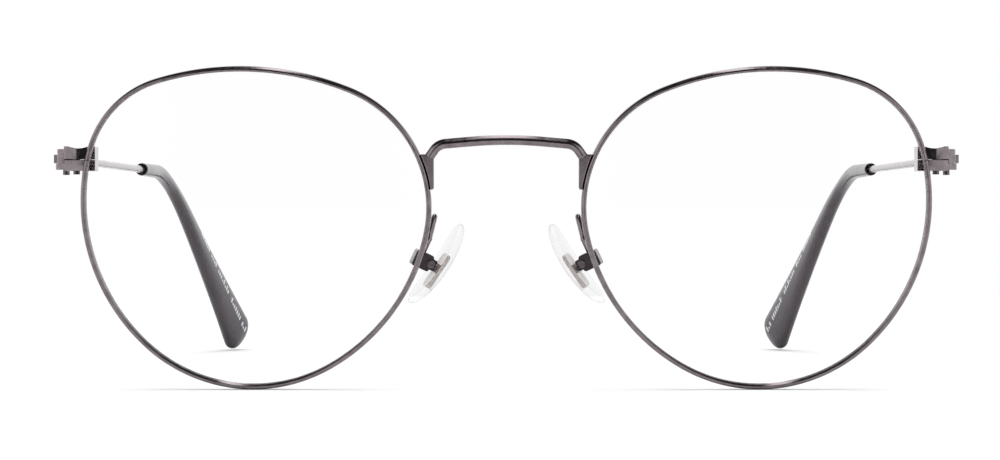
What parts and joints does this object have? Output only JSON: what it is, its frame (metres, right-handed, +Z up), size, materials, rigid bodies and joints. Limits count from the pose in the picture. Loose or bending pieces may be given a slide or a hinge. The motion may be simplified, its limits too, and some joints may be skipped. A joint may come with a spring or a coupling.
{
  "type": "round wire eyeglasses",
  "caption": "Round metal-wire eyeglasses with clear lenses, bar bridge, adjustable nose pads, folding wire temples and slipped-on acetate tips.",
  "frame": {"origin": "on the table, midway between the two lenses and midway between the front of the rims and the ends of the open temples", "axes": "+Z up, +X towards the wearer's left, the front of the lenses faces -Y and the open temples run back along +Y"},
  "size_m": [0.1334, 0.1436, 0.0472],
  "materials": {
    "plated_metal": "polished gunmetal plating on drawn nickel-alloy wire",
    "screw_steel": "dark plated steel screws",
    "lens": "clear, coated, polished",
    "tip_acetate": "satin dark grey cellulose acetate",
    "pad_silicone": "clear soft silicone",
    "pad_insert": "translucent moulded insert"
  },
  "bodies": {
    "front": {"bridge": "plated_metal", "bridge_plate_left": "plated_metal", "bridge_plate_right": "plated_metal", "closing_block_lower_left": "plated_metal", "closing_block_lower_right": "plated_metal", "closing_block_upper_left": "plated_metal", "closing_block_upper_right": "plated_metal", "hinge_screw_left": "screw_steel", "hinge_screw_right": "screw_steel", "lens_left": "lens", "lens_right": "lens", "pad_arm_left": "plated_metal", "pad_arm_right": "plated_metal", "pad_box_left": "plated_metal", "pad_box_right": "plated_metal", "pad_screw_left": "screw_steel", "pad_screw_right": "screw_steel", "rim_left": "plated_metal", "rim_lock_screw_left": "screw_steel", "rim_lock_screw_right": "screw_steel", "rim_right": "plated_metal"},
    "temple_left": {"temple_knuckle_left": "plated_metal", "temple_tip_left": "tip_acetate", "temple_wire_left": "plated_metal"},
    "temple_right": {"temple_knuckle_right": "plated_metal", "temple_tip_right": "tip_acetate", "temple_wire_right": "plated_metal"},
    "pad_left": {"nose_pad_left": "pad_silicone", "pad_insert_left": "pad_insert"},
    "pad_right": {"nose_pad_right": "pad_silicone", "pad_insert_right": "pad_insert"}
  },
  "joints": [
    {"name": "temple_left_fold", "type": "hinge", "parent": "front", "child": "temple_left", "pos_m": [0.06489, -0.06206, 0.03378], "axis": [0, 0, 1], "range_deg": [0, 85]},
    {"name": "temple_right_fold", "type": "hinge", "parent": "front", "child": "temple_right", "pos_m": [-0.06489, -0.06206, 0.03378], "axis": [0, 0, -1], "range_deg": [0, 74]},
    {"name": "pad_left_rock", "type": "hinge", "parent": "front", "child": "pad_left", "pos_m": [0.01136, -0.06056, 0.01835], "axis": [-0.2079, -0.9728, -0.1022], "range_deg": [-8, 8]},
    {"name": "pad_right_rock", "type": "hinge", "parent": "front", "child": "pad_right", "pos_m": [-0.01136, -0.06056, 0.01835], "axis": [-0.2079, 0.9728, 0.1022], "range_deg": [-8, 8]}
  ]
}
